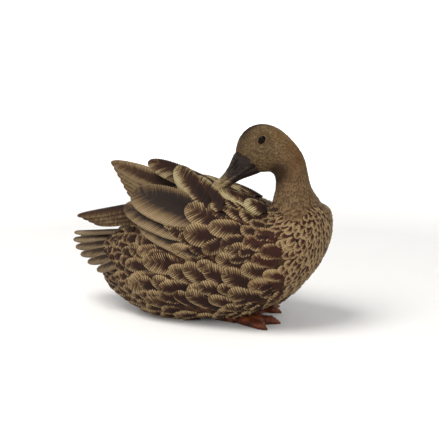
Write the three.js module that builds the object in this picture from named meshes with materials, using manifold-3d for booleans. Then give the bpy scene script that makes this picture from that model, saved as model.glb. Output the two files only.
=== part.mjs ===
// A life-size garden statue of a mallard hen, sitting and preening its back, with its head turned to the tail.
// Millimetres. +X is the way the breast faces, +Y the bird's left, +Z up; the floor is z = 0.
import * as THREE from "three";
import { mergeVertices } from "three/addons/utils/BufferGeometryUtils.js";
import Module from "manifold-3d";

const wasm = await Module();
wasm.setup();

// Driving sizes.
const BREAST_X = 125;
const RUMP_X = -184;
const EYE_RADIUS = 5.2;
const EYE_REACH = 40;
const EYE_HEIGHT = 230.5;
const EYE_LEFT = 16.2;
const TAIL_PAIRS = 5;
const TAIL_FEATHER_WIDTH = 13.6;
const TOE_THICKNESS = 8.5;
const WEB_THICKNESS = 2.6;
// The cut between neighbouring parts, and the largest step that may be smoothed away on a facet.
const GAP = 0.3;
const SIMPLIFY = 0.03;

const V = (x, y, z) => new THREE.Vector3(x, y, z);
const UP = V(0, 0, 1);

// Smooth curve through evenly spaced rows of numbers; t runs from 0 at the first row to 1 at the last.
function through(rows, t) {
  const spans = rows.length - 1;
  const place = Math.min(Math.max(t, 0), 1) * spans;
  const i = Math.min(Math.floor(place), spans - 1);
  const f = place - i;
  const before = rows[Math.max(i - 1, 0)];
  const after = rows[Math.min(i + 2, spans)];
  return rows[i].map((a, k) => {
    const b = rows[i + 1][k];
    const slopeA = (b - before[k]) / 2;
    const slopeB = (after[k] - a) / 2;
    const f2 = f * f;
    const f3 = f2 * f;
    return (2 * f3 - 3 * f2 + 1) * a + (f3 - 2 * f2 + f) * slopeA + (3 * f2 - 2 * f3) * b + (f3 - f2) * slopeB;
  });
}

// Signed power, for superellipse sections.
const curve = (value, power) => Math.sign(value) * Math.abs(value) ** (2 / power);

// One ring of a section: side and up are unit vectors, rise and drop the heights above and below the middle.
function ring({ middle, side, up, half, rise, drop, power = 2 }, around) {
  const points = [];
  for (let k = 0; k < around; k++) {
    const angle = (2 * Math.PI * k) / around;
    const across = half * curve(Math.cos(angle), power);
    const height = (Math.sin(angle) > 0 ? rise : drop) * curve(Math.sin(angle), power);
    points.push(middle.clone().addScaledVector(side, across).addScaledVector(up, height));
  }
  return points;
}

// A closed manifold body through rings of equal count; each end closes on its ring's mean point.
function bodyOf(rings) {
  const around = rings[0].length;
  const points = rings.flat();
  const triangles = [];
  for (let i = 0; i + 1 < rings.length; i++) {
    for (let k = 0; k < around; k++) {
      const a = i * around + k;
      const b = i * around + ((k + 1) % around);
      triangles.push(a, b, b + around, a, b + around, a + around);
    }
  }
  for (const [i, turn] of [[0, 1], [rings.length - 1, -1]]) {
    const end = points.length;
    points.push(rings[i].reduce((sum, p) => sum.add(p), V(0, 0, 0)).divideScalar(around));
    for (let k = 0; k < around; k++) {
      const a = i * around + k;
      const b = i * around + ((k + 1) % around);
      triangles.push(...(turn > 0 ? [end, b, a] : [end, a, b]));
    }
  }
  const solid = manifoldOf(points, triangles);
  return solid.volume() > 0 ? solid : manifoldOf(points, triangles.reverse());
}

function manifoldOf(points, triangles) {
  return new wasm.Manifold(
    new wasm.Mesh({
      numProp: 3,
      vertProperties: new Float32Array(points.flatMap((p) => [p.x, p.y, p.z])),
      triVerts: new Uint32Array(triangles),
    }),
  );
}

// Any closed three.js geometry as a manifold body.
function solidOf(geometry) {
  const bare = geometry.clone();
  bare.deleteAttribute("normal");
  bare.deleteAttribute("uv");
  const merged = mergeVertices(bare, 1e-4);
  const points = [];
  for (let i = 0; i < merged.attributes.position.count; i++) {
    points.push(new THREE.Vector3().fromBufferAttribute(merged.attributes.position, i));
  }
  return manifoldOf(points, [...merged.index.array]);
}

const addAll = (solids) => solids.reduce((whole, solid) => whole.add(solid));

// The largest of a solid's separate bodies, without the slivers a cut can leave.
const largest = (solid) => solid.decompose().reduce((a, b) => (a.volume() > b.volume() ? a : b));

// Everything under the floor, cut off each body that reaches it.
const underFloor = solidOf(new THREE.BoxGeometry(900, 600, 100).translate(0, 0, -50));

// ---- Trunk: breast, back, belly and rump as one smooth loft from the breast to the tail's root. ----

// From the breast back: distance along X, top, bottom, half-width.
const TRUNK = [
  [BREAST_X, 132, 122, 4],
  [118, 150, 97, 32],
  [102, 157, 66, 53],
  [74, 153, 36, 67],
  [36, 147, 14, 75],
  [-10, 155, 0, 77],
  [-54, 156, -6, 76],
  [-96, 143, -6, 69],
  [-132, 121, 6, 52],
  [-156, 106, 17, 38],
  [-172, 95, 28, 28],
  [RUMP_X, 79, 47, 9],
];

function trunkShape(grow = 0) {
  const rings = [];
  const count = 24;
  for (let i = 0; i <= count; i++) {
    const [x, top, bottom, half] = through(TRUNK, i / count);
    const middle = V(x, 0, bottom + (top - bottom) * 0.52);
    rings.push(
      ring(
        { middle, side: V(0, 1, 0), up: UP, half: half + grow, rise: top - middle.z + grow,
          drop: middle.z - bottom + grow, power: 2.25 },
        26,
      ),
    );
  }
  return bodyOf(rings);
}

// ---- Head and neck, in the upright plane the bird's face turns back in. ----

const NECK_FOOT = V(80, 3, 0);
const FACING = V(-0.983, -0.183, 0);
const LEFT_OF_FACE = V(0.183, -0.983, 0);

// A point of that plane: how far it is towards the face, its height, and how far to the face's left.
const facePoint = (reach, height, left = 0) => {
  const point = NECK_FOOT.clone().addScaledVector(FACING, reach);
  return point.addScaledVector(UP, height).addScaledVector(LEFT_OF_FACE, left);
};

// From the bill over the crown and down the neck: throat point, crown point, half-width.
const HEAD_NECK = [
  [55, 187, 78, 212, 8],
  [47, 187, 74, 228, 14.8],
  [41, 188, 62, 243, 20],
  [36, 189, 44, 249, 22],
  [33, 189, 24, 244, 22],
  [30, 187.5, 6, 229, 20.5],
  [28, 184, -8, 210, 19.5],
  [27.5, 176, -15, 184, 20],
  [29, 166, -20, 170, 23],
  [32, 155, -31, 154, 32],
  [35, 138, -36, 130, 40],
];

function headNeckShape(grow = 0) {
  const rings = [];
  const count = 24;
  for (let i = 0; i <= count; i++) {
    const [inReach, inHeight, outReach, outHeight, half] = through(HEAD_NECK, i / count);
    const inner = facePoint(inReach, inHeight);
    const outer = facePoint(outReach, outHeight);
    const up = outer.clone().sub(inner);
    const rise = up.length() / 2;
    const middle = inner.clone().add(outer).multiplyScalar(0.5);
    rings.push(
      ring(
        { middle, side: LEFT_OF_FACE, up: up.normalize(), half: half + grow, rise: rise + grow,
          drop: rise + grow, power: 2.1 },
        20,
      ),
    );
  }
  return bodyOf(rings);
}

// From the forehead to the tip: culmen point, rim point, half-width.
const UPPER_BILL = [
  [66, 221, 43, 200, 14.5],
  [76.5, 213, 51, 196, 13.6],
  [81, 204, 58.5, 191.5, 12.2],
  [86, 193, 68.5, 184, 11.6],
  [93, 183.5, 79, 176, 12.2],
  [100, 177, 88.5, 169.5, 12.2],
  [105, 171.5, 97, 165.5, 9],
  [106.5, 168, 103, 164.5, 3],
];

// From the throat to the tip: lower edge, rim point, half-width.
const LOWER_BILL = [
  [45.5, 188.5, 43.5, 201, 10.5],
  [55.5, 184.3, 51, 197.5, 11.2],
  [64.5, 181, 59.5, 192.5, 11],
  [73, 177, 70, 184.6, 11],
  [82, 171, 81, 176, 10.4],
  [91, 165.2, 91, 169, 5],
];

// Half of the bill: domed from its rim to its ridge, nearly flat where the halves meet.
function billShape(rows, count, grow = 0) {
  const rings = [];
  for (let i = 0; i <= count; i++) {
    const [ridgeReach, ridgeHeight, rimReach, rimHeight, half] = through(rows, i / count);
    const ridge = facePoint(ridgeReach, ridgeHeight);
    const rim = facePoint(rimReach, rimHeight);
    const up = ridge.clone().sub(rim);
    const height = up.length();
    const middle = rim.clone().addScaledVector(up, 0.12);
    rings.push(
      ring(
        { middle, side: LEFT_OF_FACE, up: up.normalize(), half: half + grow, rise: height * 0.88 + grow,
          drop: height * 0.12 + grow, power: 2.3 },
        16,
      ),
    );
  }
  return bodyOf(rings);
}

function eyeShape(left, grow = 0) {
  const centre = facePoint(EYE_REACH, EYE_HEIGHT, left * EYE_LEFT);
  const ball = new THREE.SphereGeometry(EYE_RADIUS + grow, 12, 8);
  return solidOf(ball.translate(centre.x, centre.y, centre.z));
}

// ---- Feathers and wing pads. ----

// A thick feather from its root to its tip, lying square to face. bow lifts its middle and camber its centre
// line; the last part of its length, point, narrows to the tip, rounded for blunt 2 and straight for blunt 1.
function feather(shape, grow = 0) {
  const { root, tip, face, width, thick, bow = 0, camber = 0, point = 0.45, blunt = 2.1 } = shape;
  const along = tip.clone().sub(root);
  const length = along.length() + 2 * grow;
  along.normalize();
  const up = face.clone().addScaledVector(along, -face.dot(along)).normalize();
  const side = new THREE.Vector3().crossVectors(up, along);
  const rings = [];
  const count = 7;
  const around = 8;
  for (let i = 0; i <= count; i++) {
    const t = Math.sin((Math.PI * i) / (2 * count));
    const past = Math.max(0, (t - 1 + point) / point);
    const narrow = Math.max(1 - past ** blunt, 0.0005) ** (1 / blunt);
    const wide = (0.6 + 0.4 * Math.min(1, t / 0.35)) * narrow;
    const high = (thick / 2) * (0.55 + 0.45 * narrow) * (i < count ? 1 : 0.5) + grow;
    const middle = root.clone().addScaledVector(along, t * length - grow);
    middle.addScaledVector(up, bow * Math.sin(Math.PI * t));
    const points = [];
    for (let k = 0; k < around; k++) {
      const angle = (2 * Math.PI * k) / around;
      const across = Math.cos(angle);
      const lift = high * curve(Math.sin(angle), 2.4) + camber * (1 - across * across) * wide;
      const reach = ((width / 2) * wide + grow) * across;
      points.push(middle.clone().addScaledVector(side, reach).addScaledVector(up, lift));
    }
    rings.push(points);
  }
  return bodyOf(rings);
}

// The shoulder and scapular mass of a wing: a long lens lying on the trunk. side is -1 for right, 1 for left.
function wingPad(side, grow = 0) {
  const centre = V(-22, side * 34, side > 0 ? 115 : 119);
  const along = V(-0.97, side * -0.06, 0.2).normalize();
  const out = V(-0.08, side * 0.72, 0.69);
  out.addScaledVector(along, -out.dot(along)).normalize();
  const across = new THREE.Vector3().crossVectors(out, along);
  const rings = [];
  const count = 10;
  for (let i = 0; i <= count; i++) {
    const t = -Math.cos((Math.PI * i) / count);
    const size = Math.sqrt(Math.max(1 - t * t, 0.003));
    const middle = centre.clone().addScaledVector(along, t * (94 + grow));
    const half = 50 * size + grow;
    const depth = 42 * size + grow;
    rings.push(ring({ middle, side: across, up: out, half, rise: depth, drop: depth }, 16));
  }
  return bodyOf(rings);
}

// A feather drawn for the left side, moved out by spread and put on the side asked for.
const onSide = (shape, side, spread = 0) => ({
  ...shape,
  root: V(shape.root.x, side * (shape.root.y + spread), shape.root.z),
  tip: V(shape.tip.x, side * (shape.tip.y + spread), shape.tip.z),
  face: V(shape.face.x, side * shape.face.y, shape.face.z),
});

// The long tertials of a folded wing, top one first.
const TERTIALS = [
  { root: V(-12, 56, 128), tip: V(-118, 45, 159), face: V(0.1, 0.72, 0.69), width: 51, camber: 4 },
  { root: V(-8, 65, 112), tip: V(-126, 51, 143), face: V(0.1, 0.8, 0.6), width: 38, camber: 3 },
  { root: V(-10, 72, 97), tip: V(-103, 57, 124), face: V(0.1, 0.86, 0.5), width: 31, camber: 3 },
].map((shape) => ({ ...shape, thick: 6, bow: 4 }));

// Scapulars that stand clear of the back: the one in the bill, then two behind it, then the far wing's.
const RAISED_SCAPULAR = {
  root: V(40, -24, 143), tip: V(-24, -28, 164), face: V(0, -0.6, 0.8), width: 28, thick: 6, bow: 5, camber: 3,
};
const BACK_SCAPULARS = [
  { root: V(-12, -29, 148), tip: V(-76, -6, 187), width: 28 },
  { root: V(4, -36, 143), tip: V(-44, -18, 174), width: 26 },
].map((shape) => ({ ...shape, face: V(-0.2, -0.7, 0.7), thick: 5, bow: 3, camber: 3 }));
const FAR_SCAPULAR = {
  root: V(-26, 6, 156), tip: V(-130, 24, 188), face: V(0.1, -0.5, 0.86), width: 32, thick: 6,
  bow: 5, camber: 3,
};

const NEAR_PRIMARIES = {
  root: V(-96, -38, 133), tip: V(-216, -12, 117), face: V(0, -0.5, 0.86), width: 32, thick: 10,
  point: 0.85, blunt: 1.25,
};
const FAR_PRIMARIES = {
  root: V(-76, 21, 126), tip: V(-195, 47, 179), face: V(0.1, -0.9, 0.42), width: 58, thick: 8, camber: 2,
  point: 0.54, blunt: 1.25,
};

// A point on the tail's roof-shaped fan: spread from -1 at its right to 1 at its left, reach from 0 at its root
// to 1 at its tips.
function tailPoint(spread, reach) {
  const lower = Math.abs(spread);
  const side = Math.sign(spread);
  const root = V(-118 + 8 * lower, side * 34 * lower, 103 - 20 * lower);
  const tip = V(-229 + 58 * lower ** 1.7, side * 45 * lower, 90 - 35 * lower);
  return root.lerp(tip, reach);
}

// The feathers' joined bases under their coverts.
function tailCore(grow) {
  const rings = [];
  for (let i = 0; i <= 3; i++) {
    const upper = [];
    const lower = [];
    for (let k = 0; k <= 8; k++) {
      const middle = tailPoint(-0.98 + 0.245 * k, 0.06 + 0.18 * i);
      upper.push(middle.clone().add(V(0, 0, 3.8 - 0.6 * i + grow)));
      lower.unshift(middle.clone().add(V(0, 0, -6 + 0.8 * i - grow)));
    }
    rings.push([...upper, ...lower]);
  }
  return bodyOf(rings);
}

function tailShape(grow = 0) {
  const feathers = [tailCore(grow)];
  for (let pair = 0; pair <= TAIL_PAIRS; pair++) {
    for (const side of pair ? [-1, 1] : [1]) {
      const lower = pair / TAIL_PAIRS;
      feathers.push(
        feather(
          {
            root: tailPoint(side * lower, 0),
            tip: tailPoint(side * lower, 1),
            face: V(0, side * 0.7 * Math.min(1, 2 * lower), 0.7),
            width: TAIL_FEATHER_WIDTH, thick: 8, camber: 1, point: 0.2,
          },
          grow,
        ),
      );
    }
  }
  return addAll(feathers);
}

// ---- Feet: shank flat on the floor, three webbed toes in front and a small hind toe. ----

// A limb from start to end on the floor, thick at first and thinner at last, rounded over.
function toe(start, end, thickStart, thickEnd) {
  const along = end.clone().sub(start).normalize();
  const side = new THREE.Vector3().crossVectors(UP, along);
  const length = end.distanceTo(start);
  const rings = [];
  const count = 5;
  for (let i = 0; i <= count; i++) {
    const t = i / count;
    const round = Math.min(1, Math.sqrt(Math.max(1 - ((t - 0.82) / 0.185) ** 2, 0.03)));
    const size = (thickStart + (thickEnd - thickStart) * t) * (t > 0.82 ? round : 1) * (i ? 1 : 0.6);
    const knuckle = 1 + 0.1 * Math.sin(3 * Math.PI * t) ** 2;
    const middle = start.clone().addScaledVector(along, t * length).setZ(size * 0.42);
    const half = size * 0.56 * knuckle;
    rings.push(ring({ middle, side, up: UP, half, rise: size * 0.58 * knuckle, drop: size * 0.6 }, 8));
  }
  return bodyOf(rings).subtract(underFloor);
}

// Headings are degrees from +X towards +Y.
function footShape({ knuckle, shank, outer, middle, inner }) {
  const reach = (heading, length) => {
    const turn = THREE.MathUtils.degToRad(heading);
    return V(knuckle.x + length * Math.cos(turn), knuckle.y + length * Math.sin(turn), 0);
  };
  const tips = [reach(outer, 49), reach(middle, 52), reach(inner, 37)];
  const bones = [
    toe(reach(shank + 180, 44), reach(shank, 6), 13, 12),
    ...tips.map((tip) => toe(knuckle, tip, 11, TOE_THICKNESS)),
    toe(reach(shank + 160, 2), reach(shank + 160, 20), 7, 5),
  ];
  const web = new THREE.Shape();
  const corner = (point, pull) => [
    knuckle.x + (point.x - knuckle.x) * pull,
    knuckle.y + (point.y - knuckle.y) * pull,
  ];
  web.moveTo(knuckle.x, knuckle.y);
  web.lineTo(...corner(tips[0], 0.84));
  web.quadraticCurveTo(...corner(tips[0].clone().lerp(tips[1], 0.5), 0.62), ...corner(tips[1], 0.84));
  web.quadraticCurveTo(...corner(tips[1].clone().lerp(tips[2], 0.5), 0.62), ...corner(tips[2], 0.84));
  web.closePath();
  const sheet = { depth: WEB_THICKNESS, bevelEnabled: false, curveSegments: 5 };
  return addAll([...bones, solidOf(new THREE.ExtrudeGeometry(web, sheet))]);
}

// ---- The parts, each cut clear of its neighbours by GAP. ----

const trunkWhole = trunkShape().subtract(underFloor);
const headNeck = headNeckShape();
const upperBill = billShape(UPPER_BILL, 10);
const lowerBill = billShape(LOWER_BILL, 9).subtract(billShape(UPPER_BILL, 10, GAP));
const eyeLeft = eyeShape(1);
const eyeRight = eyeShape(-1);

// The head ends on a plane across the top of the neck, and the neck on one at its foot.
const napeCut = new THREE.Plane();
napeCut.setFromNormalAndCoplanarPoint(V(0.52, 0.097, -0.85).normalize(), facePoint(14, 199));
const halfSpace = (plane, shift) => {
  const block = new THREE.BoxGeometry(600, 600, 600).translate(0, 0, 300);
  block.applyQuaternion(new THREE.Quaternion().setFromUnitVectors(UP, plane.normal));
  const foot = plane.normal.clone().multiplyScalar(-plane.constant + shift);
  return solidOf(block.translate(foot.x, foot.y, foot.z));
};
const face = addAll([
  billShape(UPPER_BILL, 10, GAP),
  billShape(LOWER_BILL, 9, GAP),
  eyeShape(1, GAP),
  eyeShape(-1, GAP),
]);
const head = headNeck.subtract(halfSpace(napeCut, 0)).subtract(face);
const neck = headNeck.intersect(halfSpace(napeCut, GAP)).subtract(trunkShape(GAP));

const rightOfMiddle = solidOf(new THREE.BoxGeometry(900, 300, 600).translate(0, -150 - GAP / 2, 0));
const leftOfMiddle = solidOf(new THREE.BoxGeometry(900, 300, 600).translate(0, 150 + GAP / 2, 0));
const trunkClear = trunkShape(GAP);
const frontClear = addAll([
  trunkClear,
  headNeckShape(GAP),
  billShape(UPPER_BILL, 10, GAP),
  billShape(LOWER_BILL, 9, GAP),
]);

const feathersOf = (list, grow = 0) => addAll(list.map((shape) => feather(shape, grow)));
const TERTIALS_RIGHT = TERTIALS.map((shape) => onSide(shape, -1));
const TERTIALS_LEFT = TERTIALS.map((shape) => onSide(shape, 1, 7));
const SCAPULARS_RIGHT = [RAISED_SCAPULAR, ...BACK_SCAPULARS];
const wingRightClear = wingPad(-1, GAP).add(feathersOf(TERTIALS_RIGHT, GAP));
const wingLeftClear = wingPad(1, GAP).add(feathersOf(TERTIALS_LEFT, GAP));
const scapularsRightClear = feathersOf(SCAPULARS_RIGHT, GAP);
const scapularsLeftClear = feather(FAR_SCAPULAR, GAP);

const wingRight = wingPad(-1).intersect(rightOfMiddle).add(feathersOf(TERTIALS_RIGHT)).subtract(frontClear);
const wingLeft = wingPad(1)
  .intersect(leftOfMiddle)
  .add(feathersOf(TERTIALS_LEFT))
  .subtract(frontClear)
  .subtract(feathersOf(TERTIALS_RIGHT, GAP))
  .subtract(rightOfMiddle.intersect(wingPad(-1, GAP)));
const scapularsRight = feathersOf(SCAPULARS_RIGHT).subtract(
  addAll([frontClear, wingRightClear, wingLeftClear]),
);
const scapularsLeft = feather(FAR_SCAPULAR).subtract(
  addAll([frontClear, wingRightClear, wingLeftClear, scapularsRightClear]),
);
const primariesRight = feather(NEAR_PRIMARIES).subtract(
  addAll([trunkClear, wingRightClear, scapularsRightClear]),
);
const primariesLeft = feather(FAR_PRIMARIES).subtract(
  addAll([trunkClear, wingLeftClear, wingRightClear, scapularsLeftClear, scapularsRightClear]),
);

const footRight = footShape({ knuckle: V(12, -17, 0), shank: -8, outer: -24, middle: 16, inner: 50 });
const footLeft = footShape({ knuckle: V(-6, 42, 0), shank: 10, outer: 35, middle: 2, inner: -28 });
const tail = largest(tailShape().subtract(trunkClear));

// ---- Assembly. ----

function geometryOf(solid) {
  const { vertProperties, triVerts } = solid.getMesh();
  const geometry = new THREE.BufferGeometry();
  geometry.setAttribute("position", new THREE.BufferAttribute(new Float32Array(vertProperties), 3));
  geometry.setIndex(new THREE.BufferAttribute(new Uint32Array(triVerts), 1));
  geometry.computeVertexNormals();
  return geometry;
}

const duck = new THREE.Group();
duck.name = "duck";

function part(name, solid, colour, roughness) {
  const material = new THREE.MeshStandardMaterial({ color: colour, roughness, metalness: 0 });
  const mesh = new THREE.Mesh(geometryOf(largest(solid).simplify(SIMPLIFY)), material);
  mesh.name = name;
  duck.add(mesh);
}

part("trunk", trunkWhole, 0x7a6448, 0.7);
part("neck", neck, 0x75634a, 0.7);
part("head", head, 0x80704f, 0.7);
part("bill_upper", upperBill, 0x3d3835, 0.5);
part("bill_lower", lowerBill, 0x2c2725, 0.5);
part("eye_left", eyeLeft, 0x1a0c08, 0.12);
part("eye_right", eyeRight, 0x1a0c08, 0.12);
part("wing_right", wingRight, 0x6f5a42, 0.7);
part("wing_left", wingLeft, 0x6f5a42, 0.7);
part("scapulars_right", scapularsRight, 0x6f5a42, 0.7);
part("scapulars_left", scapularsLeft, 0x6f5a42, 0.7);
part("primaries_right", primariesRight, 0x62503c, 0.7);
part("primaries_left", primariesLeft, 0x62503c, 0.7);
part("tail", tail, 0x6a5743, 0.7);
part("foot_right", footRight.subtract(trunkClear), 0x7c3a1c, 0.6);
part("foot_left", footLeft.subtract(trunkClear), 0x7c3a1c, 0.6);

// The origin goes under the middle of the whole, on the floor.
const box = new THREE.Box3().setFromObject(duck);
const middle = box.getCenter(V(0, 0, 0));
duck.children.forEach((mesh) => mesh.geometry.translate(-middle.x, -middle.y, -box.min.z));

export default duck;
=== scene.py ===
"""Looks of a life-size painted resin statue of a preening mallard hen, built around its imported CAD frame."""

import math

import bmesh
import bpy
import numpy as np
from mathutils import Matrix, Vector
from mathutils.bvhtree import BVHTree


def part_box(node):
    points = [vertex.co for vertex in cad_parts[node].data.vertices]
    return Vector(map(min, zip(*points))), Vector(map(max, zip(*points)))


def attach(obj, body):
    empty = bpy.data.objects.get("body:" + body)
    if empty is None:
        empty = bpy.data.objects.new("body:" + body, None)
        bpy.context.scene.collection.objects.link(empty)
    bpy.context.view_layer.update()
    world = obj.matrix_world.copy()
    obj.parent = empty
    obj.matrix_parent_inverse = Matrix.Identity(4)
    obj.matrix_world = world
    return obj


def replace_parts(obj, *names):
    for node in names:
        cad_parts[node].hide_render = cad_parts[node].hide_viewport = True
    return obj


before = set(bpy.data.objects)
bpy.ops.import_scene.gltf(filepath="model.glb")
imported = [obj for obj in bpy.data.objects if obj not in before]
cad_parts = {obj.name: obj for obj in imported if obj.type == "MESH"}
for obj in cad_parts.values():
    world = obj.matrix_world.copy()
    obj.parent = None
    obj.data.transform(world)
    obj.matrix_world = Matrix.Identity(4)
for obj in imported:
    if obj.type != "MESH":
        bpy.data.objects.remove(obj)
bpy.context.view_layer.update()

MM = 0.001
UP = np.array((0, 0, 1.0))

# The statue's own origin: its breast is 125 mm in front of it, and it stands on the floor in the middle plane.
BREAST_REACH = 125 * MM
_low, _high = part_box("trunk")
HOME = np.array((_high.x - BREAST_REACH, (_low.y + _high.y) / 2, _low.z))


def at(x, y, z):
    """The frame's place for a point that is given in millimetres from the statue's own origin."""
    return HOME + np.array((x, y, z), float) * MM


def unit(v):
    v = np.asarray(v, float)
    return v / np.maximum(np.linalg.norm(v, axis=-1, keepdims=True), 1e-12)


def smoothstep(low, high, x):
    t = np.clip((x - low) / (high - low), 0, 1)
    return t * t * (3 - 2 * t)


def square_to(direction, axis):
    """The unit vector nearest to a direction that is square to an axis."""
    return unit(direction - axis * (direction @ axis))


def bell(x):
    """1 at 0, falling to 0 on both sides."""
    return np.exp(-(x**2))


def flipped(point, side, spread=0.0):
    """A point drawn for the left side, moved out by spread and put on the side asked for."""
    return point[0], side * (point[1] + spread), point[2]


def new_object(name, data):
    thing = bpy.data.objects.new(name, data)
    bpy.context.scene.collection.objects.link(thing)
    return thing


# ---- Camera: the photograph's view. ----

CAMERA_TURN = math.radians(23)
CAMERA_TILT = math.radians(11)
CAMERA_DISTANCE = 1.5
CAMERA_TARGET = at(-21, 0, 125)
PICTURE_SIDE = 439
FOCAL_PIXELS = 1200
SENSOR_MM = 36
VIEW_RIGHT = np.array((math.cos(CAMERA_TURN), math.sin(CAMERA_TURN), 0))
VIEW_LEVEL = np.array((-math.sin(CAMERA_TURN), math.cos(CAMERA_TURN), 0))
VIEW_UP = VIEW_LEVEL * math.sin(CAMERA_TILT) + UP * math.cos(CAMERA_TILT)
VIEW_BACK = np.cross(VIEW_RIGHT, VIEW_UP)
CAMERA_PLACE = CAMERA_TARGET + CAMERA_DISTANCE * VIEW_BACK


def make_camera():
    data = bpy.data.cameras.new("camera")
    data.sensor_width = SENSOR_MM
    data.lens = SENSOR_MM * FOCAL_PIXELS / PICTURE_SIDE
    camera = new_object("camera", data)
    axes = Matrix((VIEW_RIGHT, VIEW_UP, VIEW_BACK)).transposed().to_4x4()
    camera.matrix_world = Matrix.Translation(CAMERA_PLACE) @ axes
    bpy.context.scene.camera = camera


def sight(px, py):
    """Direction from the camera through a pixel of the picture."""
    right, down = ((p - PICTURE_SIDE / 2) / FOCAL_PIXELS for p in (px, py))
    return unit(right * VIEW_RIGHT - down * VIEW_UP - VIEW_BACK)


# ---- Head plane: the upright plane that the face turns back in. ----

NECK_FOOT = at(80, 3, 0)
FACING = np.array((-0.983, -0.183, 0))
FACE_LEFT = np.array((0.183, -0.983, 0))


def face_point(reach, height, left):
    """A point of the head: its reach towards the face, its height and how far to the face's left, in mm."""
    return NECK_FOOT + (reach * FACING + height * UP + left * FACE_LEFT) * MM


def face_coordinates(points):
    """Reach, height and left in mm of points of the frame."""
    away = (points - NECK_FOOT) / MM
    return away @ FACING, away[:, 2], away @ FACE_LEFT


# ---- Mesh helpers. ----


def mesh_object(name, points, faces):
    mesh = bpy.data.meshes.new(name)
    mesh.from_pydata([tuple(p) for p in points], [], faces)
    mesh.update()
    return new_object(name, mesh)


def mesh_from(bm, mesh):
    """Writes bm into a mesh and frees it."""
    bm.to_mesh(mesh)
    bm.free()
    return mesh


def mesh_points(mesh, kind="co"):
    """The place of each point, or its normal where kind is "normal"."""
    flat = np.empty(len(mesh.vertices) * 3, np.float32)
    mesh.vertices.foreach_get(kind, flat)
    return flat.reshape(-1, 3).astype(float)


def set_points(mesh, points):
    mesh.vertices.foreach_set("co", points.astype(np.float32).ravel())
    mesh.update()


def set_attribute(mesh, name, values):
    layer = mesh.attributes.new(name, "FLOAT", "POINT")
    layer.data.foreach_set("value", np.asarray(values, np.float32))


def shade_smooth(mesh):
    mesh.polygons.foreach_set("use_smooth", np.ones(len(mesh.polygons), bool))


def set_paint(thing, material):
    """Gives a piece its only material."""
    thing.data.materials.clear()
    thing.data.materials.append(material)


def keep_largest_body(bm):
    """Deletes every body of bm but the one with the most points."""
    left = set(bm.verts)
    bodies = []
    while left:
        body, border = set(), {left.pop()}
        while border:
            body |= border
            border = {edge.other_vert(vertex) for vertex in border for edge in vertex.link_edges} & left
            left -= border
        bodies.append(body)
    for body in sorted(bodies, key=len)[:-1]:
        bmesh.ops.delete(bm, geom=list(body), context="VERTS")


def ellipsoid(bm, centre, axes):
    """Adds a closed ellipsoid to bm; axes holds its three half-axes as vectors."""
    ball = bmesh.ops.create_icosphere(bm, subdivisions=4, radius=1)
    turn = Matrix(axes).transposed().to_4x4()
    bmesh.ops.transform(bm, matrix=Matrix.Translation(centre) @ turn, verts=ball["verts"])


def remeshed(name, nodes, voxel, smooth_steps, extras=()):
    """One smooth closed mesh around the CAD nodes and the extra ellipsoids, with no seam between them."""
    bm = bmesh.new()
    for node in nodes:
        bm.from_mesh(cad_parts[node].data)
    for centre, axes in extras:
        ellipsoid(bm, centre, axes)
    mesh = mesh_from(bm, bpy.data.meshes.new(name))
    work = new_object(name, mesh)
    remesh = work.modifiers.new("remesh", "REMESH")
    remesh.mode = "VOXEL"
    remesh.voxel_size = voxel
    relax = work.modifiers.new("relax", "SMOOTH")
    relax.factor = 0.5
    relax.iterations = smooth_steps
    graph = bpy.context.evaluated_depsgraph_get()
    final = bpy.data.meshes.new_from_object(work.evaluated_get(graph))
    work.modifiers.clear()
    work.data = final
    bpy.data.meshes.remove(mesh)
    bm = bmesh.new()
    bm.from_mesh(final)
    keep_largest_body(bm)
    mesh_from(bm, final)
    shade_smooth(final)
    return work


# ---- Eyes: their places, and how the lids are cut. ----

# Reach, height and left of the left eye's middle, and how far it looks towards the face and up.
EYE_PLACE = (40, 230.5, 15.2)
EYE_AIM = (0.12, 0.05)
EYE_RADIUS = 6.1 * MM
SOCKET_DEPTH = 2.4 * MM
# Distances from the eye's axis in mm: the socket has no depth past the first, and all of it within the second.
SOCKET_REACH = (8, 4.5)
# The dark pupil as a share of the eyeball, how soft its rim is, and how far it is set towards the upper corner.
PUPIL_SHARE = 0.72
PUPIL_SOFTNESS = 0.03
PUPIL_SHIFT = 0.16
# Half-sizes of the opening between the lids, and how its long axis leans back, in mm and degrees.
LID_OPENING = (5.5, 4.1)
LID_LEAN = 52
# How much longer the opening is at its pointed corner, and how much flatter it is on that side.
CORNER_LENGTH = 0.28
CORNER_FLATNESS = 0.25
# Across a lid from the eye outwards: share of the opening, height over the eyeball in mm.
LID_SECTION = [
    (0.97, -1.2), (0.98, 0.2), (1.1, 0.5), (1.25, 0.35), (1.36, -0.1), (1.5, 0.1), (1.66, -0.3), (1.8, -0.2),
    (2.0, -1.8),
]
# The lid is dark inside this share, and in its creases.
LID_RIM = 1.05
LID_CREASES = (1.36, 1.66)
LID_POINTS = 56
# The deepest that a lid's outer part falls below the eyeball's front, as a share of the eyeball's radius.
LID_FALL = 0.42


def eye_frame(side):
    """The middle of an eye, its outward direction, and the opening's long and short directions."""
    centre = face_point(EYE_PLACE[0], EYE_PLACE[1], side * EYE_PLACE[2])
    out = unit(side * FACE_LEFT + EYE_AIM[0] * FACING + EYE_AIM[1] * UP)
    lean = math.radians(LID_LEAN)
    long = square_to(UP * math.sin(lean) - FACING * math.cos(lean), out)
    return centre, out, long, np.cross(out, long)
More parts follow.
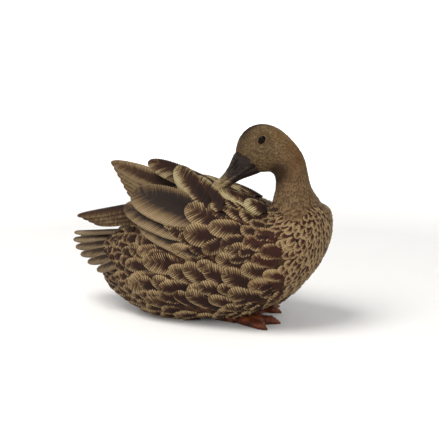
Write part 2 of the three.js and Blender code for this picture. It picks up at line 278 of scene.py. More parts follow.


# ---- Marks and painted shade: where the coat is darker or more golden, the same for skin and what grows on it. ----

# Reach, height and left of the middle, radius in mm, how much darker, how much more golden.
MARKS_AND_PAINTED_SHADE = [
    # The first three darken the forehead's front edge.
    ((67, 238, 0), 15, 1.0, 0.0),
    ((62, 247, 0), 13, 0.7, 0.0),
    ((48, 251, 0), 12, 0.4, 0.0),
    ((20, 234, 13), 5, 0.25, 0.5),
    ((8, 220, 14), 5.5, 0.35, 0.5),
    ((-2, 207, 13), 5.5, 0.35, 0.5),
    ((14, 243, 0), 20, 0.0, 0.25),
    ((-8, 222, 0), 18, 0.35, 0.7),
    ((-14, 200, 0), 16, 0.35, 0.5),
    ((65, 222, 9), 4.5, 0.8, 0.0),
    ((8, 196, 17), 13, 0.2, 0.2),
    # The next two are painted shadow under the cheek's lower back, where the head meets the neck, on one side
    # only.
    ((20, 193, 17), 12, 1.0, 0.3),
    ((26, 182, 12), 12, 0.8, 0.2),
    ((46, 214, 20), 18, -0.1, -0.1),
    ((26, 152, 0), 14, 0.4, 0.0),
    ((40, 206, 20), 17, 0.28, 0.2),
]

# Painted shade of folds under each eye, which the surface does not have: radius about the eye's middle in mm,
# and the angles that it runs between, in degrees.
FOLDS = [(10.5, -160, -60), (15.5, -150, -40)]
FOLD_WIDTH = 0.9
FOLD_PAINTED_SHADE = 0.55
# Both folds are on the face's sides, this far from its middle plane or more, in mm.
FOLD_FROM = 5


def folds(points):
    """1 at the bottom of a fold, falling to 0 beside it."""
    reach, height, left = face_coordinates(points)
    ahead, above = reach - EYE_PLACE[0], height - EYE_PLACE[1]
    far = np.hypot(ahead, above)
    turn = np.degrees(np.arctan2(above, ahead))
    depth = np.zeros(len(points))
    for radius, start, end in FOLDS:
        inside = 1 - np.abs(turn - (start + end) / 2) / ((end - start) / 2)
        depth += bell((far - radius) / FOLD_WIDTH) * smoothstep(0, 0.5, inside)
    return depth * (np.abs(left) > FOLD_FROM)


def marks_and_painted_shade(points):
    """Shade and gold of each point, from -1 to 1."""
    shade = np.zeros(len(points))
    gold = np.zeros(len(points))
    for place, radius, darker, richer in MARKS_AND_PAINTED_SHADE:
        weight = bell(np.linalg.norm(points - face_point(*place), axis=1) / (radius * MM))
        shade += darker * weight
        gold += richer * weight
    # Painted crease shade along the folds under the eyes.
    shade += FOLD_PAINTED_SHADE * folds(points)
    return np.clip(shade, -1, 1), np.clip(gold, -1, 1)


# ---- Skin: trunk, neck, head and the fleshy part of both wings, as one surface. ----

SKIN_VOXEL = 1.7 * MM
SKIN_SMOOTHING = 9
COAT_DEPTH = 2.4 * MM
HEAD_COAT_DEPTH = 0.9 * MM
# The left wing's shoulder: middle and half-axes in mm, and its directions along and out.
WING_PAD_MIDDLE = (-22, 34, 117)
WING_PAD_HALF_AXES = (94, 50, 42)
WING_PAD_ALONG = (-0.97, -0.06, 0.2)
WING_PAD_OUT = (-0.08, 0.72, 0.69)
# Over which heights and reaches, in mm in the head plane, the trunk turns into the head.
NECK_HEIGHTS = (150, 205)
NECK_REACHES = (-40, -25)


def wing_pad(side):
    """The shoulder of a wing: a long lens lying on the trunk. side is -1 for the right wing."""
    along = unit(flipped(WING_PAD_ALONG, side))
    out = square_to(np.array(flipped(WING_PAD_OUT, side)), along)
    long, wide, deep = (size * MM for size in WING_PAD_HALF_AXES)
    return at(*flipped(WING_PAD_MIDDLE, side)), (along * long, np.cross(out, along) * wide, out * deep)


def head_share(points):
    """1 on the head, 0 on the trunk, with a soft change over the neck."""
    reach, height, _ = face_coordinates(points)
    return smoothstep(*NECK_HEIGHTS, height) * smoothstep(*NECK_REACHES, reach)


def make_skin():
    skin = remeshed("skin", ["trunk", "neck", "head"], SKIN_VOXEL, SKIN_SMOOTHING, [wing_pad(-1), wing_pad(1)])
    points = mesh_points(skin.data)
    depth = COAT_DEPTH + (HEAD_COAT_DEPTH - COAT_DEPTH) * head_share(points)
    points -= mesh_points(skin.data, "normal") * depth[:, None]
    for side in (-1, 1):
        centre, out, _, _ = eye_frame(side)
        away = points - centre
        ahead = away @ out
        off_axis = np.linalg.norm(away - ahead[:, None] * out, axis=1) / MM
        socket = smoothstep(*SOCKET_REACH, off_axis) * (ahead > 0)
        points -= socket[:, None] * out * SOCKET_DEPTH
    set_points(skin.data, points)
    return skin


make_camera()
skin = make_skin()
skin_tree = BVHTree.FromObject(skin, bpy.context.evaluated_depsgraph_get())


def on_skin(point):
    """The skin's nearest place to a point, and its outward direction there."""
    place, normal, _, _ = skin_tree.find_nearest(Vector(point))
    return np.array(place), np.array(normal)


def seen_on_skin(px, py):
    """The skin's place that the camera sees at a pixel of the picture, or None beside it."""
    place, normal, _, _ = skin_tree.ray_cast(Vector(CAMERA_PLACE), Vector(sight(px, py)))
    return None if place is None else np.array(place)


# ---- The lie of the coat and the size of its feathers, from places where they are known. ----


def both_sides(rows):
    """Each row again on the other side of the trunk, unless it is on the middle plane."""
    doubled = []
    for place, lie, length, width in rows:
        doubled.append((at(*place), lie, length, width))
        if place[1]:
            mirrored = (place[0], -place[1], place[2])
            doubled.append((at(*mirrored), (lie[0], -lie[1], lie[2]), length, width))
    return doubled


# Place in mm on the left side, direction from root to tip, length and width of a feather in mm.
TRUNK_LIE = [
    ((112, 12, 148), (0.2, 0.1, -1), 10, 8.5),
    ((123, 14, 122), (0, 0.2, -1), 11, 9.5),
    ((112, 40, 128), (-0.35, 0.3, -0.8), 11, 9.5),
    ((112, 34, 95), (-0.6, 0.2, -0.75), 11.5, 10),
    ((92, 58, 112), (-0.9, 0.1, -0.35), 13, 11.5),
    ((88, 50, 70), (-0.9, 0, -0.4), 13.5, 12),
    ((62, 66, 105), (-1, 0, -0.05), 17, 15),
    ((50, 72, 70), (-1, 0, 0.1), 22, 19),
    ((60, 50, 36), (-1, 0, -0.1), 16, 14),
    ((10, 77, 85), (-1, 0, 0.3), 27, 22),
    ((0, 74, 50), (-1, 0, 0.3), 28, 23),
    ((-60, 73, 80), (-1, 0, 0.3), 28, 22),
    ((-60, 70, 45), (-1, 0, 0.2), 30, 24),
    ((-10, 55, 14), (-1, 0, 0.1), 24, 19),
    ((-80, 50, 10), (-1, 0, 0.12), 25, 19),
    ((-110, 58, 60), (-1, -0.2, 0.1), 23, 18),
    ((-140, 38, 60), (-1, -0.2, 0.05), 19, 14),
    ((60, 0, 25), (-1, 0, -0.3), 14, 12),
    ((0, 0, 0), (-1, 0, 0), 22, 18),
    ((-90, 0, -2), (-1, 0, 0.05), 22, 18),
    ((-150, 0, 15), (-1, 0, 0.4), 20, 15),
    ((-160, 0, 100), (-1, 0, -0.15), 18, 14),
    ((-120, 0, 130), (-1, 0, -0.3), 20, 16),
    ((-60, 0, 157), (-1, 0, 0), 22, 18),
    ((10, 0, 154), (-1, 0, 0.05), 18, 15),
    ((45, 28, 150), (-1, 0, 0.05), 15, 12),
    ((60, 45, 138), (-1, 0.1, -0.1), 14, 12),
    ((5, 50, 150), (-1, 0, 0.15), 20, 16),
    ((-10, 76, 118), (-1, 0, 0.3), 24, 19),
    ((-70, 62, 125), (-1, 0, 0.25), 26, 20),
]
# The same for the head and neck, with the place as reach, height and left in the head plane.
HEAD_LIE = [
    ((66, 232, 0), (0.3, 0, 1), 5, 2.4),
    ((60, 244, 0), (0.85, 0.1, 0.5), 5.4, 2.5),
    ((44, 249, 0), (1, 0.18, 0), 5.6, 2.7),
    ((22, 245, 0), (0.9, 0.16, -0.35), 5.8, 2.8),
    ((6, 230, 0), (0.65, 0.1, -0.75), 6, 3),
    ((-8, 210, 0), (0.35, 0.05, -1), 6.2, 4.4),
    ((-16, 186, 0), (0.1, 0, -1), 7, 5),
    ((-22, 165, 0), (0.3, 0, -1), 8, 6),
    ((-34, 150, 0), (0.5, 0, -1), 9, 7.5),
    ((40, 190, 0), (1, 0.15, -0.15), 5.4, 2.7),
    ((30, 184, 0), (0.3, 0, -1), 6, 3),
    ((28, 168, 0), (-0.1, 0, -1), 6.5, 5),
    ((30, 152, 0), (-0.3, 0, -1), 8, 6),
]
for _side in (-1, 1):
    HEAD_LIE += [
        ((54, 224, 14 * _side), (0.75, 0.1, 0.45), 4.7, 2.2),
        ((52, 208, 16 * _side), (0.95, 0.15, 0.1), 4.9, 2.4),
        ((40, 240, 15 * _side), (0.95, 0.15, 0.1), 5.2, 2.4),
        ((34, 218, 21 * _side), (0.95, 0.15, -0.15), 5.4, 2.6),
        ((40, 200, 18 * _side), (0.95, 0.15, -0.2), 5.4, 2.6),
        ((18, 226, 21 * _side), (0.85, 0.13, -0.5), 5.8, 2.8),
        ((14, 204, 20 * _side), (0.5, 0.05, -0.9), 6.5, 3.1),
        ((6, 182, 20 * _side), (0.1, 0, -1), 6.8, 5),
        ((4, 164, 25 * _side), (0, -0.3 * _side, -1), 8, 6.5),
        ((0, 152, 34 * _side), (0, -0.5 * _side, -1), 9, 7.5),
    ]
LIE = [(face_point(*_place), *_rest) for _place, *_rest in HEAD_LIE] + both_sides(TRUNK_LIE)
LIE_PLACES = np.array([row[0] for row in LIE])
LIE_VALUES = np.array([[*unit(row[1]), row[2], row[3]] for row in LIE])
# How strongly the nearest of these places counts, and the distance in mm within which all count alike.
LIE_POWER = 4
LIE_BLUR = 2


def lie_of(points):
    """Direction from root to tip, length and width, in metres, of a feather at each point."""
    far = np.linalg.norm(points[:, None] - LIE_PLACES[None], axis=2) / MM
    weight = 1 / (far + LIE_BLUR) ** LIE_POWER
    values = (weight @ LIE_VALUES) / weight.sum(1, keepdims=True)
    return unit(values[:, :3]), values[:, 3] * MM, values[:, 4] * MM


# ---- One feather: rows that follow its barbs from the quill to the edge. ----

# Where along a feather it is at its full width, where its dark heart starts, and where its last barb starts.
FULL_WIDTH_AT = 0.45
HEART_AT = 0.15
LAST_BARB_AT = 0.985
# Halvings to find where a barb ends.
HALVINGS = 24
# How a barb bends towards the tip, and how the points crowd at the root and at the edge.
BARB_BEND = 1.12
ROOT_CROWDING = 0.95
EDGE_CROWDING = 0.9
# A barb's first row is its groove and the others are its ridge: their height as a share of the relief, and how
# much longer they are, which leaves teeth along the edge.
GROOVE_HEIGHT, RIDGE_HEIGHT = -1.0, 0.45
GROOVE_LENGTH, RIDGE_LENGTH = -0.034, 0.014
UNEVEN_TEETH = 0.6
# The share of the relief that is left at the rounded edge.
EDGE_RELIEF = 0.4
QUILL_WIDTH = 0.5


class Vane:
    """The flat plan of a feather, its relief and how it is painted, with all sizes given in mm.

    s runs along the feather and x across it. point is the share of the length that the tip takes up, blunt how
    square the tip is, base the width of the root, slant how steeply the barbs leave the quill at root and tip,
    edge the width of the rounded edge, and core the width and length of the dark heart.
    """

    def __init__(self, length, width, *, seed, pitch, columns, thick, relief, edge, core, camber, per_barb=3,
                 quill=0.0, point=0.5, blunt=2.2, base=0.55, slant=(1.7, 0.6), shift=0.0):
        half = width / 2

        def outline(s):
            past = np.clip((s - 1 + point) / point, 0, 1)
            tip = np.maximum(1 - past**blunt, 0) ** (1 / blunt)
            return half * (base + (1 - base) * smoothstep(0, FULL_WIDTH_AT, s)) * tip

        barbs = max(3, round(length / pitch))
        row = np.arange(barbs * per_barb)
        start = np.linspace(0, LAST_BARB_AT, len(row)) ** ROOT_CROWDING
        steepness = slant[0] + (slant[1] - slant[0]) * start**2
        low, high = start.copy(), np.ones(len(row))
        for _ in range(HALVINGS):
            end = (low + high) / 2
            outside = (end - start) * length * steepness > outline(end)
            high = np.where(outside, end, high)
            low = np.where(outside, low, end)
        forward, reach = (end - start)[:, None], outline(end)[:, None]

        across = np.sin(np.linspace(0, math.pi / 2, columns + 1)) ** EDGE_CROWDING
        across = np.concatenate([-across[:0:-1], across])
        share = np.abs(across)
        tones = np.random.default_rng(seed).uniform(-1, 1, (barbs + 1, 2))
        streak = tones[row // per_barb][:, (across > 0).astype(int)]
        groove = (row % per_barb == 0)[:, None]
        teeth = 1 + np.where(groove, GROOVE_LENGTH, RIDGE_LENGTH) * (1 + UNEVEN_TEETH * streak)
        s = start[:, None] + forward * share**BARB_BEND * teeth
        x = across * reach * teeth

        inside = np.clip((1 - share) * np.hypot(forward * length, reach) / edge, 0, 1)
        dome = np.sqrt(1 - (1 - inside) ** 2)
        ridge = np.where(groove, GROOVE_HEIGHT, RIDGE_HEIGHT) * smoothstep(0.04, 0.3, share)
        ridge = ridge * smoothstep(-0.9, 0.2, inside)
        height = thick * dome + camber * (1 - (x / half) ** 2) - quill * bell(x / QUILL_WIDTH)
        height += relief * ridge * (EDGE_RELIEF + (1 - EDGE_RELIEF) * dome)
        past_heart = np.maximum(s - HEART_AT, 0) / (core[1] - HEART_AT)
        heart = np.hypot((x / half - shift) / core[0], past_heart)

        self.length, self.half = length * MM, half * MM
        self.s, self.x, self.height = s.ravel(), x.ravel() / half, height.ravel() * MM
        self.paint = {"core": heart.ravel(), "ridge": ridge.ravel(), "streak": streak.ravel()}
        self.join(*s.shape)

    def join(self, rows, across):
        """Closed faces: the top, an underside of one quad for each row, and both ends."""
        grid = np.arange(rows * across).reshape(rows, across)
        self.top = np.stack([grid[:-1, :-1], grid[:-1, 1:], grid[1:, 1:], grid[1:, :-1]], -1).reshape(-1, 4)
        self.under = np.stack([grid[:-1, 0], grid[1:, 0], grid[1:, -1], grid[:-1, -1]], -1)
        first, last = grid[0], grid[-1]
        ends = []
        for k in range(1, across - 1):
            ends.append((first[0], first[k + 1], first[k]))
            ends.append((last[0], last[k], last[k + 1]))
        self.ends = np.array(ends)


SHEET_POWERS = [(k, m) for k in range(4) for m in range(3)]


def sheet_terms(a, b):
    return np.stack([a**k * b**m for k, m in SHEET_POWERS], 1)


NET_ALONG = np.linspace(0, 1, 6)
NET_ACROSS = np.array((-1, -0.5, 0, 0.5, 1))
_a, _b = np.meshgrid(NET_ALONG, NET_ACROSS, indexing="ij")
NET_FIT = np.linalg.pinv(sheet_terms(_a.ravel(), _b.ravel()))


def wrapped_sheet(root, direction, length, half):
    """A smooth sheet that lies on the skin from a root towards a direction: its terms for place and normal."""
    place, normal = on_skin(root)
    heading = square_to(direction, normal)
    places, normals = [], []
    step = length / (len(NET_ALONG) - 1)
    for _ in NET_ALONG:
        side = unit(np.cross(heading, normal))
        for b in NET_ACROSS:
            spot, out = on_skin(place + side * b * half)
            places.append(spot)
            normals.append(out)
        following, normal = on_skin(place + heading * step)
        heading = square_to(following - place, normal)
        place = following
    return NET_FIT @ np.array(places), NET_FIT @ np.array(normals)


def free_sheet(root, tip, face, half, bow, droop):
    """A smooth sheet that stands clear of the skin from its root to its tip, with its outer side towards face.

    Its middle is raised by bow and its edges fall by droop.
    """
    along = unit(tip - root)
    up = square_to(face, along)
    side = np.cross(along, up)
    places, normals = [], []
    for a in NET_ALONG:
        middle = root + (tip - root) * a + up * bow * math.sin(math.pi * a)
        for b in NET_ACROSS:
            places.append(middle + side * b * half - up * droop * b * b)
            normals.append(unit(up + side * b * 2 * droop / half))
    return NET_FIT @ np.array(places), NET_FIT @ np.array(normals)


# How late along a feather it rises from its sunken root, and how far over the floor all of it stays.
LIFT_POWER = 1.4
FLOOR_GAP = 0.15 * MM
# Height of the line that the body's feathers are counted round, and the columns of patches for each row.
BODY_AXIS = 75 * MM
PATCH_SHAPE = 0.8
# Where a feather starts in its patch of the UV map and how much it takes up: along it, and across it for its
# top and for its hidden faces.
PATCH_ALONG = (0.04, 0.92)
PATCH_TOP = (0.12, 0.84)
PATCH_HIDDEN = (0.02, 0.05)


class Coat:
    """Feathers gathered into one mesh, with their painting as attributes and a patch of the UV map for each."""

    def __init__(self, name, material, slot):
        self.name, self.material, self.slot = name, material, slot
        self.feathers = []

    def add(self, vane, sheet, sink, rise, tone):
        """Lays a feather on a sheet, with its root sunk in and its tip raised."""
        terms = sheet_terms(vane.s, vane.x)
        places, normals = terms @ sheet[0], unit(terms @ sheet[1])
        lift = -sink + (sink + rise) * np.clip(vane.s, 0, 1) ** LIFT_POWER
        points = places + normals * (lift + vane.height)[:, None]
        points[:, 2] = np.maximum(points[:, 2], FLOOR_GAP)
        self.feathers.append((vane, points, tone, sheet[0][0]))

    def patches(self):
        """Each patch's corner, by its feather's place round and along the body, and the size of a patch."""
        roots = np.array([feather[3] for feather in self.feathers])
        around = np.argsort(np.arctan2(roots[:, 1] - HOME[1], roots[:, 2] - BODY_AXIS))
        columns = max(1, round(math.sqrt(len(roots) * PATCH_SHAPE)))
        rows = np.array_split(around, math.ceil(len(roots) / columns))
        corners = np.zeros((len(roots), 2))
        for r, row in enumerate(rows):
            for c, k in enumerate(row[np.argsort(roots[row, 0])]):
                corners[k] = c / columns, r / len(rows)
        return corners, (1 / columns, 1 / len(rows))

    def build(self):
        corners, size = self.patches()
        points, faces, uvs, first = [], [], [], 0
        values = {name: [] for name in ("core", "ridge", "streak", "tone")}
        for (vane, spots, tone, _), corner in zip(self.feathers, corners):
            points.append(spots)
            for name, column in {**vane.paint, "tone": np.full(len(spots), tone)}.items():
                values[name].append(column)
            for group, (start, share) in (
                (vane.top, PATCH_TOP), (vane.under, PATCH_HIDDEN), (vane.ends, PATCH_HIDDEN),
            ):
                along = PATCH_ALONG[0] + PATCH_ALONG[1] * vane.s
                across = start + share * (vane.x * 0.5 + 0.5)
                faces.extend((group + first).tolist())
                uvs.append(np.stack([along, across], 1)[group.ravel()] * size + corner)
            first += len(spots)
        points = np.concatenate(points)
        thing = mesh_object(self.name, points, faces)
        mesh = thing.data
        for name, column in values.items():
            set_attribute(mesh, name, np.concatenate(column))
        for name, column in zip(("shade", "gold"), marks_and_painted_shade(points)):
            set_attribute(mesh, name, column)
        layer = mesh.uv_layers.new(name="OFBake")
        layer.data.foreach_set("uv", np.concatenate(uvs).astype(np.float32).ravel())
        shade_smooth(mesh)
        set_paint(thing, self.material)
        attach(thing, "root")
        return thing


# ---- Paint. ----


def linear(colour):
    """A linear colour with full cover, from three screen values of 0 to 255."""
    return tuple(((v / 255 + 0.055) / 1.055) ** 2.4 if v > 10 else v / 255 / 12.92 for v in colour) + (1,)


class Paint:
    """A short way to write a node material; every colour is given as its three screen values."""

    def __init__(self, name, roughness=0.6, specular=0.3):
        self.material = bpy.data.materials.new(name)
        self.material.use_nodes = True
        self.nodes = self.material.node_tree.nodes
        self.links = self.material.node_tree.links
        self.shader = self.nodes["Principled BSDF"]
        self.shader.inputs["Roughness"].default_value = roughness
        self.shader.inputs["Specular IOR Level"].default_value = specular

    def put(self, socket, value):
        """Links another socket to this one, or sets its value, or its colour where the value is a tuple."""
        if isinstance(value, bpy.types.NodeSocket):
            self.links.new(value, socket)
        else:
            socket.default_value = linear(value) if isinstance(value, tuple) else value

    def attribute(self, name):
        node = self.nodes.new("ShaderNodeAttribute")
        node.attribute_name = name
        return node.outputs["Fac"]

    def math(self, operation, *values):
        node = self.nodes.new("ShaderNodeMath")
        node.operation = operation
        for socket, value in zip(node.inputs, values):
            self.put(socket, value)
        return node.outputs[0]

    def noise(self, scale, detail=3.0, stretch=(1, 1, 1)):
        """Noise of scale per metre over the object, from 0 to 1 with 0.5 at its middle."""
        place = self.nodes.new("ShaderNodeTexCoord")
        mapping = self.nodes.new("ShaderNodeMapping")
        mapping.inputs["Scale"].default_value = stretch
        node = self.nodes.new("ShaderNodeTexNoise")
        node.inputs["Scale"].default_value = scale
        node.inputs["Detail"].default_value = detail
        self.links.new(place.outputs["Object"], mapping.inputs["Vector"])
        self.links.new(mapping.outputs["Vector"], node.inputs["Vector"])
        return node.outputs["Fac"]

    def spread(self, value, low, high, to_low=0.0, to_high=1.0):
        node = self.nodes.new("ShaderNodeMapRange")
        node.interpolation_type = "SMOOTHSTEP"
        for socket, number in zip(node.inputs, (value, low, high, to_low, to_high)):
            self.put(socket, number)
        return node.outputs[0]

    def ramp(self, value, stops):
        node = self.nodes.new("ShaderNodeValToRGB")
        while len(node.color_ramp.elements) < len(stops):
            node.color_ramp.elements.new(0.5)
        for element, (place, colour) in zip(node.color_ramp.elements, stops):
            element.position = place
            element.color = linear(colour)
        self.put(node.inputs["Fac"], value)
        return node.outputs["Color"]

    def mix(self, factor, a, b):
        node = self.nodes.new("ShaderNodeMix")
        node.data_type = "RGBA"
        for index, value in ((0, factor), (6, a), (7, b)):
            self.put(node.inputs[index], value)
        return node.outputs[2]

    def marked_and_painted_shade(self, colour, gold, shade):
        """The colour with so much of the coat's golden and dark marks, and its painted shade, over it."""
        colour = self.mix(self.math("MULTIPLY", self.attribute("gold"), gold), colour, GOLD)
        return self.mix(self.math("MULTIPLY", self.attribute("shade"), shade), colour, INK)

    def finish(self, colour, bump_scale=1800, bump_height=0.06 * MM):
        self.put(self.shader.inputs["Base Color"], colour)
        bump = self.nodes.new("ShaderNodeBump")
        bump.inputs["Distance"].default_value = bump_height
        self.put(bump.inputs["Height"], self.noise(bump_scale, 2.0))
        self.links.new(bump.outputs["Normal"], self.shader.inputs["Normal"])
        return self.material


INK = (20, 12, 9)
MAROON = (50, 24, 18)
UMBER = (62, 40, 26)
BROWN = (98, 70, 44)
SAGE = (168, 155, 117)
OLIVE = (104, 85, 58)
TAUPE = (82, 63, 42)
GOLD = (120, 80, 34)

# Places of a feather's five colours between its heart and PAINT_REACH, where 1 is the edge of the heart.
PAINT_STOPS = (0.0, 0.48, 0.62, 0.74, 1.0)
PAINT_REACH = 1.55


def feather_paint(name, *colours, soft=0.2, brush=0.8, groove=0.95, patchy=0.25, uneven=0.12):
    """Dark heart, pale edge: the dark wash stays in the grooves, and a dry brush has caught the ridges.

    The colours go from the heart to the rim. soft, patchy and uneven are how much the barbs, the paint's mottle
    and the feathers differ, brush is the strength of the dry brush and groove that of the wash.
    """
    paint = Paint("feathers_" + name, roughness=0.7, specular=0.12)
    ridge = paint.attribute("ridge")
    mottle = paint.math("SUBTRACT", paint.noise(260, 4.0), 0.5)
    place = paint.math("MULTIPLY_ADD", paint.attribute("streak"), soft, paint.attribute("core"))
    place = paint.math("MULTIPLY_ADD", mottle, patchy, place)
    place = paint.math("MULTIPLY_ADD", paint.attribute("tone"), uneven, place)
    colour = paint.ramp(paint.math("DIVIDE", place, PAINT_REACH), list(zip(PAINT_STOPS, colours)))
    colour = paint.mix(paint.spread(ridge, -0.75, 0.3, groove, 0.0), colour, INK)
    bristles = paint.spread(paint.noise(420, 5.0), 0.3, 0.6)
    caught = paint.math("MULTIPLY", paint.spread(ridge, 0.0, 0.42), bristles)
    caught = paint.math("MULTIPLY", caught, paint.spread(place, 0.85, 1.3))
    colour = paint.mix(paint.math("MULTIPLY", caught, brush), colour, colours[-1])
    return paint.finish(paint.marked_and_painted_shade(colour, gold=0.6, shade=0.85))


def skin_paint():
    """The dark wash between the feathers, with the coat's own marks and painted shade."""
    paint = Paint("skin_wash", roughness=0.75, specular=0.12)
    colour = paint.ramp(paint.noise(180, 4.0), [(0.3, INK), (0.55, UMBER), (0.8, BROWN)])
    colour = paint.mix(paint.math("MULTIPLY", paint.attribute("head"), 0.75), colour, TAUPE)
    return paint.finish(paint.marked_and_painted_shade(colour, gold=0.5, shade=0.8))


BODY = feather_paint("body", INK, (44, 22, 16), (70, 50, 34), (90, 69, 46), (148, 126, 92), groove=0.68)
BREAST = feather_paint(
    "breast", MAROON, MAROON, (88, 64, 42), (118, 95, 66), (150, 127, 92),
    soft=0.15, brush=0.35, groove=0.4, patchy=0.7, uneven=0.25,
)
WING = feather_paint("wing", INK, (46, 26, 18), (86, 65, 44), (114, 95, 66), SAGE, groove=0.68)
TERTIAL = feather_paint(
    "tertial", INK, (40, 32, 27), (80, 63, 46), (106, 87, 62), (142, 122, 92),
    soft=0.12, brush=0.12, groove=0.62,
)
HEAD = feather_paint(
    "head", (66, 50, 33), (73, 56, 37), (87, 69, 46), (99, 81, 55), (118, 99, 70),
    soft=0.4, brush=0.2, groove=0.45, uneven=0.35,
)
NECK = feather_paint(
    "neck", (70, 53, 35), (78, 60, 40), (88, 69, 47), (97, 76, 52), (116, 94, 66),
    soft=0.4, brush=0.2, groove=0.3, uneven=0.3,
)
QUILL = feather_paint(
    "quill", INK, (54, 36, 24), (76, 56, 37), (96, 76, 52), (138, 117, 86), soft=0.12, groove=0.75,
)
TAIL = feather_paint("tail", INK, (40, 30, 23), (60, 47, 36), (82, 67, 52), (130, 112, 88), soft=0.12)

# Feather lengths: the skin has none of the head's colour past the first, and all of it within the second.
HEAD_COLOUR_LENGTHS = (11 * MM, 9 * MM)

for _name, _values in zip(("shade", "gold"), marks_and_painted_shade(mesh_points(skin.data))):
    set_attribute(skin.data, _name, _values)
_, _lengths, _ = lie_of(mesh_points(skin.data))
set_attribute(skin.data, "head", smoothstep(*HEAD_COLOUR_LENGTHS, _lengths))
set_paint(skin, skin_paint())
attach(skin, "root")
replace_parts(skin, "trunk", "neck", "head")


# ---- Feathers that lie on the skin. ----

RNG = np.random.default_rng(20)
SPACING_ALONG = 0.5
SPACING_ACROSS = 0.68
BREAST_CLOSENESS = 0.86
CANDIDATES = 60000
# How much denser the candidates are on the head, where the feathers are smallest.
HEAD_EXTRA = 5


def scattered(count):
    """Random places all over the skin, even by area but denser on the head."""
    mesh = skin.data
    mesh.calc_loop_triangles()
    corners = np.empty(len(mesh.loop_triangles) * 3, np.int32)
    mesh.loop_triangles.foreach_get("vertices", corners)
    a, b, c = (mesh_points(mesh)[corners.reshape(-1, 3)[:, k]] for k in range(3))
    area = np.linalg.norm(np.cross(b - a, c - a), axis=1)
    centre = (a + b + c) / 3
    area *= 1 + HEAD_EXTRA * head_share(centre)
    pick = RNG.choice(len(area), count, p=area / area.sum())
    u, v = RNG.random((2, count))
    over = u + v > 1
    u, v = np.where(over, 1 - u, u), np.where(over, 1 - v, v)
    return a[pick] + (b - a)[pick] * u[:, None] + (c - a)[pick] * v[:, None]


# The line across the bill's root that no feather is scattered past, in the head plane: a place on it, its
# direction and the gap to it; and the reach and heights that it holds for.
BILL_ROOT = (57, 214)
BILL_ROOT_DIRECTION = (0.75, -0.35)
BILL_ROOT_GAP = 8.5
BILL_REACH = 42
BILL_HEIGHTS = (176, 226)
# The lid's place to the side, and how far from it feathers start, in mm.
LID_SIDE = 18
LID_GAP = 7.5
# Boxes of no scattered feathers in mm from the statue's origin: under both sides' tertials, under the raised
# scapulars, and over the right foot.
FAR = 999
BARE_BOXES = [
    ((-FAR, -FAR, 104), (-40, -44, 150)),
    ((-FAR, 44, 104), (-40, FAR, 150)),
    ((-60, -FAR, 128), (6, -16, FAR)),
    ((-30, -FAR, -FAR), (80, 0, 15)),
]


def covered_by_hard_parts(points):
    """Places where no scattered feather grows: on the bill and the eyes, and in the bare boxes."""
    reach, height, left = face_coordinates(points)
    past = (reach - BILL_ROOT[0]) * BILL_ROOT_DIRECTION[0] + (height - BILL_ROOT[1]) * BILL_ROOT_DIRECTION[1]
    covered = (past > BILL_ROOT_GAP) & (reach > BILL_REACH)
    covered &= (height > BILL_HEIGHTS[0]) & (height < BILL_HEIGHTS[1])
    from_eye = np.hypot(reach - EYE_PLACE[0], height - EYE_PLACE[1])
    covered |= np.hypot(from_eye, np.abs(left) - LID_SIDE) < LID_GAP
    places = (points - HOME) / MM
    for low, high in BARE_BOXES:
        covered |= ((places > low) & (places < high)).all(1)
    return covered


# Feathers that the picture shows whole: tip and root in its pixels, and width in mm.
SEEN = [
    (211, 228, 240, 230, 21), (205, 251, 228, 240, 18),
    (174, 248, 216, 260, 20), (231, 248, 255, 257, 20), (218, 256, 243, 267, 20), (244, 240, 270, 245, 17),
    (257, 232, 274, 237, 15), (262, 251, 280, 252, 17), (253, 258, 273, 262, 15), (222, 243, 245, 241, 16),
    (141, 251, 174, 249, 18), (147, 260, 178, 266, 25), (171, 269, 195, 279, 20), (186, 265, 210, 282, 24),
    (206, 267, 228, 282, 22), (225, 272, 250, 286, 24), (243, 267, 266, 273, 17), (264, 273, 282, 276, 14),
    (250, 282, 278, 286, 19), (133, 284, 168, 276, 29), (161, 287, 183, 288, 18), (200, 286, 222, 291, 19),
    (219, 287, 236, 292, 15), (230, 290, 260, 298, 23), (176, 292, 195, 304, 18), (190, 290, 214, 306, 24),
    (135, 303, 163, 305, 20), (149, 298, 192, 306, 21), (211, 297, 231, 304, 18), (225, 305, 247, 308, 16),
    (152, 312, 182, 316, 14), (176, 312, 200, 315, 14), (198, 313, 217, 316, 12), (228, 211, 242, 217, 14),
    (240, 214, 254, 221, 14), (243, 204, 263, 213, 15), (250, 222, 264, 228, 13), (129, 263, 148, 268, 17),
    (133, 250, 150, 255, 15), (241, 229, 258, 234, 13), (212, 200, 226, 206, 13),
]

# The same for those that lie over the tertials.
SEEN_RAISED = [(190, 212, 226, 225, 27), (189, 233, 220, 238, 25)]
# How much of a feather is hidden beyond its seen root, and how much longer and wider it is than what its
# neighbours leave of it to be seen.
HIDDEN_ROOT = 0.25
SEEN_LENGTH = 1.06
SEEN_OVERLAP = 1.22

# Plans of the coat's feathers: the longest length in mm that each is for, and what Vane is told.
PLANS = [
    (9, dict(
        pitch=1.5, columns=2, per_barb=2, thick=0.3, relief=0.14, edge=0.9, camber=0.15, core=(0.5, 0.75),
    )),
    (15, dict(
        pitch=2.0, columns=4, per_barb=2, thick=0.75, relief=0.18, edge=2.3, camber=0.6, core=(0.52, 0.74),
    )),
    (99, dict(pitch=3.0, columns=6, thick=1.7, relief=0.7, edge=3.0, camber=1.9, core=(0.62, 0.87))),
]
VARIANTS = 4
vanes = {}


def body_vane(length, width, variant):
    """A feather of the coat; feathers of nearly the same size share one of a few plans."""
    key = (round(length / MM), round(width / MM), variant)
    if key not in vanes:
        plan = next(plan for longest, plan in PLANS if key[0] <= longest)
        vanes[key] = Vane(key[0], key[1], seed=variant + 10 * key[0], **plan)
    return vanes[key]


